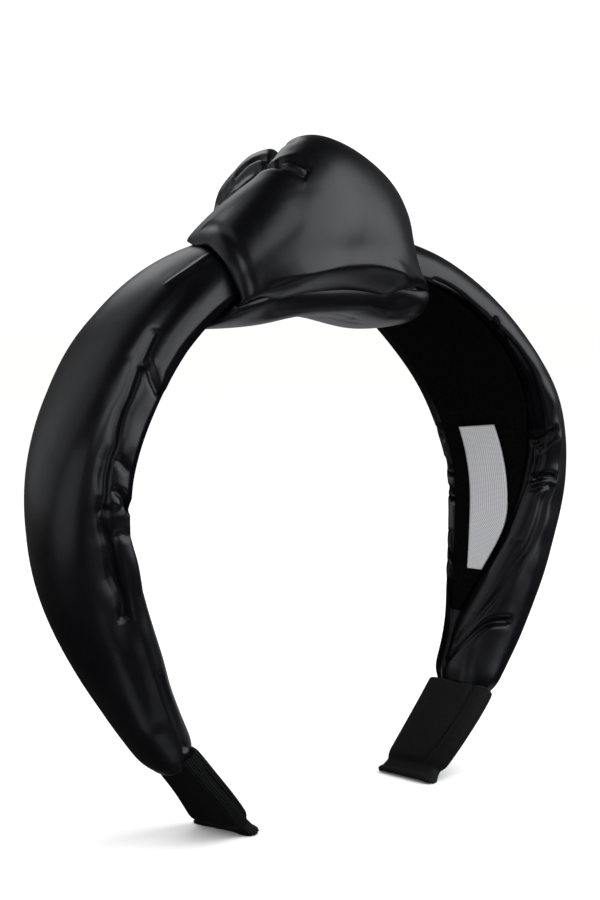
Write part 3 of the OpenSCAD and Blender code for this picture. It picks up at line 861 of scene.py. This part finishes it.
def corded_mesh(name, mesh, ribs):
    """A round cord along each marked edge of a mesh, made by the nodes."""
    tree, radius, sides = ribs
    obj = link(bpy.data.objects.new(name, mesh))
    modifier = obj.modifiers.new("cords", "NODES")
    modifier.node_group = tree
    modifier[radius] = CORD * MM
    modifier[sides] = CORD_SIDES
    return baked(obj)


def make_end(node, ribbon, ribs, seam, reach):
    """The ribbon round one tip, and the cords of its ribs: seam is the seam's place round the wrap,
    and reach is how far the top goes up under the pad."""
    rings = evenly_ringed(rings_of(node), CORDS, ROWS)
    obj = swept(node + "_ribbon", rings, levels=1)
    count = rings.shape[1]
    shaped_end(obj, rings, seam, reach)
    # Subdivided once, the mesh has a new column between each two, and the ribs follow the old ones
    columns = np.round(turn_of(obj.data, count) * 2).astype(int) % (count * 2)
    along = kept(obj.data, "along")
    edges = np.zeros(len(obj.data.edges) * 2, np.int32)
    obj.data.edges.foreach_get("vertices", edges)
    a, b = edges.reshape(-1, 2).T
    is_rib = (columns[a] == columns[b]) & (columns[a] % 2 == 0) & (along[a] != along[b])
    keep(obj.data, "rib", is_rib, "EDGE")
    run, across = places_of(obj, rings, 0)
    mapped(obj, run, across)

    corded = corded_mesh(node + "_ribs", obj.data.copy(), ribs)
    finished(obj, ribbon, node)
    finished(corded, ribbon, None)


# The studio

# How far the floor reaches each way, in metres
FLOOR = 60


def make_floor():
    """A pale floor that blends into the white."""
    mesh = bpy.data.meshes.new("floor")
    corners = [(-FLOOR, -FLOOR, 0), (FLOOR, -FLOOR, 0), (FLOOR, FLOOR, 0), (-FLOOR, FLOOR, 0)]
    mesh.from_pydata(corners, [], [(0, 1, 2, 3)])
    floor = link(bpy.data.objects.new("floor", mesh))
    floor.visible_glossy = floor.visible_shadow = False
    material, tree, shader = new_material("pale_floor")
    shader.inputs["Base Color"].default_value = linear("#f4f4f2")
    shader.inputs["Roughness"].default_value = 0.9
    shader.inputs["Specular IOR Level"].default_value = 0
    mesh.materials.append(material)


# Softboxes: name, azimuth (0 right, 90 behind, 180 left) and elevation in degrees, distance and
# size in metres, radiance
SOFTBOXES = [
    ("right_front", -52, 25, 0.45, 0.57, 2.0),
    ("front", -95, 8, 0.9, 0.4, 1.3),
    ("left_front_high", -118, 48, 0.9, 0.55, 2.1),
    ("left", 178, 6, 0.9, 0.75, 0.6),
    ("behind", 120, 25, 0.9, 0.8, 0.35),
    ("behind_right", 66, 34, 0.9, 0.35, 1.3),
    ("right_low", 46, -22, 0.9, 0.6, 0.35),
    ("right_floor", -4, -55, 0.9, 0.35, 0.5),
    ("front_floor", -108, -56, 0.9, 0.4, 0.55),
]
# Their light is a little cool
COOL = (0.98, 1.0, 1.04)
# What the world gives: to the eye and the floor, and to reflections, from straight below (0) over
# level (0.5) to straight above (1)
SKY = 1.12
MIRRORED = [(0.0, 0.03), (0.35, 0.02), (0.5, 0.1), (0.65, 0.07), (0.8, 0.02), (1.0, 0.01)]


def light_the_studio():
    """Hangs the softboxes round the headband, and the world behind them."""
    for name, azimuth, elevation, distance, size, radiance in SOFTBOXES:
        data = bpy.data.lights.new(name, "AREA")
        data.energy = radiance * math.pi * size ** 2
        data.size = size
        data.color = COOL
        lamp = link(bpy.data.objects.new(name, data))
        azimuth, elevation = math.radians(azimuth), math.radians(elevation)
        direction = Vector((math.cos(azimuth) * math.cos(elevation),
                            math.sin(azimuth) * math.cos(elevation), math.sin(elevation)))
        lamp.location = Vector(CENTRE) + direction * distance
        lamp.visible_camera = False
        lamp.rotation_mode = "QUATERNION"
        lamp.rotation_quaternion = direction.to_track_quat("Z", "Y")
    world = bpy.data.worlds.new("studio")
    bpy.context.scene.world = world
    world.use_nodes = True
    world.cycles.sampling_method = "NONE"
    tree = world.node_tree
    tree.nodes.clear()
    way = add(tree, "ShaderNodeTexCoord").outputs["Generated"]
    height = add(tree, "ShaderNodeSeparateXYZ", {"Vector": way}).outputs["Z"]
    level = add(tree, "ShaderNodeMapRange", {"Value": height, "From Min": -1, "From Max": 1})
    mirrored = add(tree, "ShaderNodeValToRGB", {"Fac": level.outputs["Result"]},
                   stops=[(z, (v, v, v, 1)) for z, v in MIRRORED])
    ray = add(tree, "ShaderNodeLightPath").outputs["Is Glossy Ray"]
    seen = add(tree, "ShaderNodeMix", {
        "Factor": ray, "A": (SKY, SKY, SKY, 1), "B": mirrored.outputs["Color"],
    }, data_type="RGBA")
    shown = add(tree, "ShaderNodeBackground", {"Color": seen.outputs["Result"]})
    add(tree, "ShaderNodeOutputWorld", {"Surface": shown.outputs["Background"]})
    bpy.context.scene.view_settings.view_transform = "Standard"


# Making it all

place_camera()
leather = satin_faux_leather()
ribbon = ribbed_ribbon()
make_arm("left_arm", leather, LEFT_CREASES, LEFT_LINING_AND_SHADE, seed=3)
make_arm("right_arm", leather, RIGHT_CREASES, RIGHT_LINING_AND_SHADE, seed=4)
make_fold("knot_wrap", leather, shaped_wrap)
make_fold("knot_fold", leather, shaped_fold)
make_fold("knot_roll", leather, shaped_roll)
make_strip("lining", "lining_strip", matte_lining_cloth())
make_strip("label", "label_ribbon", woven_label_cloth(),
           sharp=1, sharp_lines=(0, 2, 3, 5))
ribs = rib_tree(ribbon)
make_end("left_end", ribbon, ribs, seam=23.2, reach=3.5)
make_end("right_end", ribbon, ribs, seam=27.5, reach=1.0)
make_floor()
light_the_studio()
